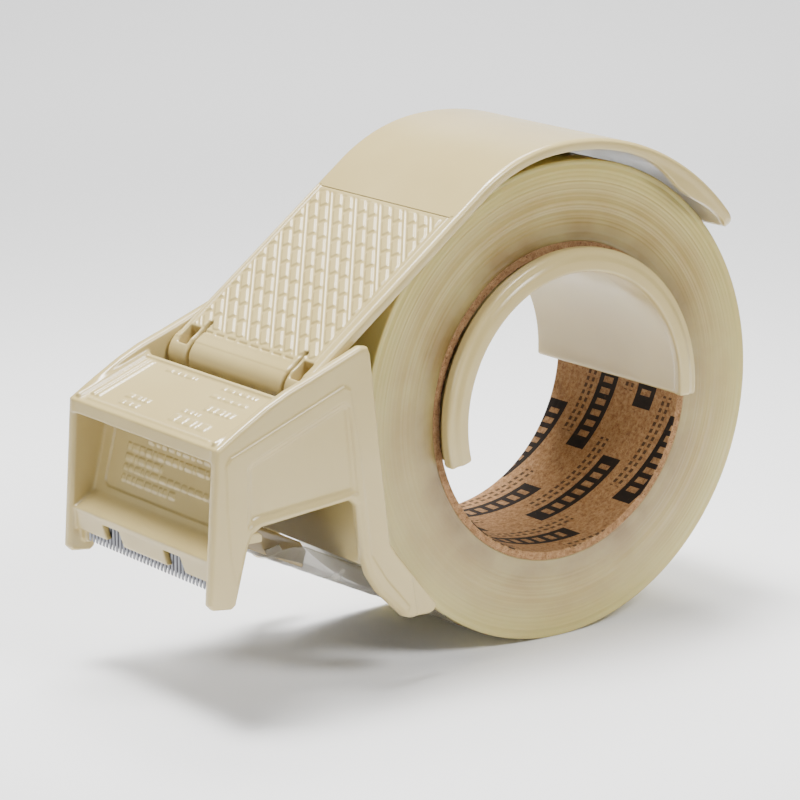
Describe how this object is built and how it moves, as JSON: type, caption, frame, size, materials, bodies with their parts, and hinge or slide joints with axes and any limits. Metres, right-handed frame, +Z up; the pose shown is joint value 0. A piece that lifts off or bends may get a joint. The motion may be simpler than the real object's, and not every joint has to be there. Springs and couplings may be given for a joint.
{
  "type": "tape gun dispenser",
  "caption": "Hand-held box-sealing tape dispenser: toothed cutter head hinged on a moulded handle whose cover and C-shaped hub carry a turning roll of clear tape.",
  "frame": {"origin": "middle of the bounding box's base, under the part, on the level of the tape roll's lowest point", "axes": "+X from the cutter head back to the roll, +Y along the roll's axis to the side arm, +Z up"},
  "size_m": [0.171, 0.0648, 0.1266],
  "materials": {
    "beige_moulding": "satin",
    "pin_moulding": "satin",
    "blade_steel": "brushed",
    "kraft_board": "matt, cardboard",
    "clear_tape_winding": "glossy, translucent",
    "clear_film": "glossy, clear"
  },
  "bodies": {
    "handle": {"cover_shell": "beige_moulding", "cover_bend": "beige_moulding", "grip_panel": "beige_moulding", "right_tail_skirt": "beige_moulding", "left_tail_skirt": "beige_moulding", "cover_tail": "beige_moulding", "hinge_barrel": "beige_moulding", "right_hinge_clip": "beige_moulding", "left_hinge_clip": "beige_moulding", "side_arm": "beige_moulding", "arm_ribs": "beige_moulding", "hub_tube": "beige_moulding", "hub_lip": "beige_moulding"},
    "head": {"right_side_wall": "beige_moulding", "left_side_wall": "beige_moulding", "top_plate": "beige_moulding", "front_beam": "beige_moulding", "window_panel": "beige_moulding", "front_ledge": "beige_moulding", "blade_lip": "beige_moulding", "cutter_blade": "blade_steel", "right_blade_guard": "beige_moulding", "left_blade_guard": "beige_moulding", "comb_shelf": "beige_moulding", "tape_comb": "beige_moulding", "rear_guard": "beige_moulding", "hinge_pin": "pin_moulding", "right_hinge_boss": "beige_moulding", "left_hinge_boss": "beige_moulding", "tape_tail": "clear_film"},
    "roll": {"cardboard_core": "kraft_board", "wound_tape": "clear_tape_winding"}
  },
  "joints": [
    {"name": "head_hinge", "type": "hinge", "parent": "handle", "child": "head", "pos_m": [-0.05135, 0, 0.0746], "axis": [0, 1, 0], "range_deg": [0, 75]},
    {"name": "roll_spin", "type": "hinge", "parent": "handle", "child": "roll", "pos_m": [0.02495, 0, 0.0605], "axis": [0, 1, 0], "continuous": true}
  ]
}
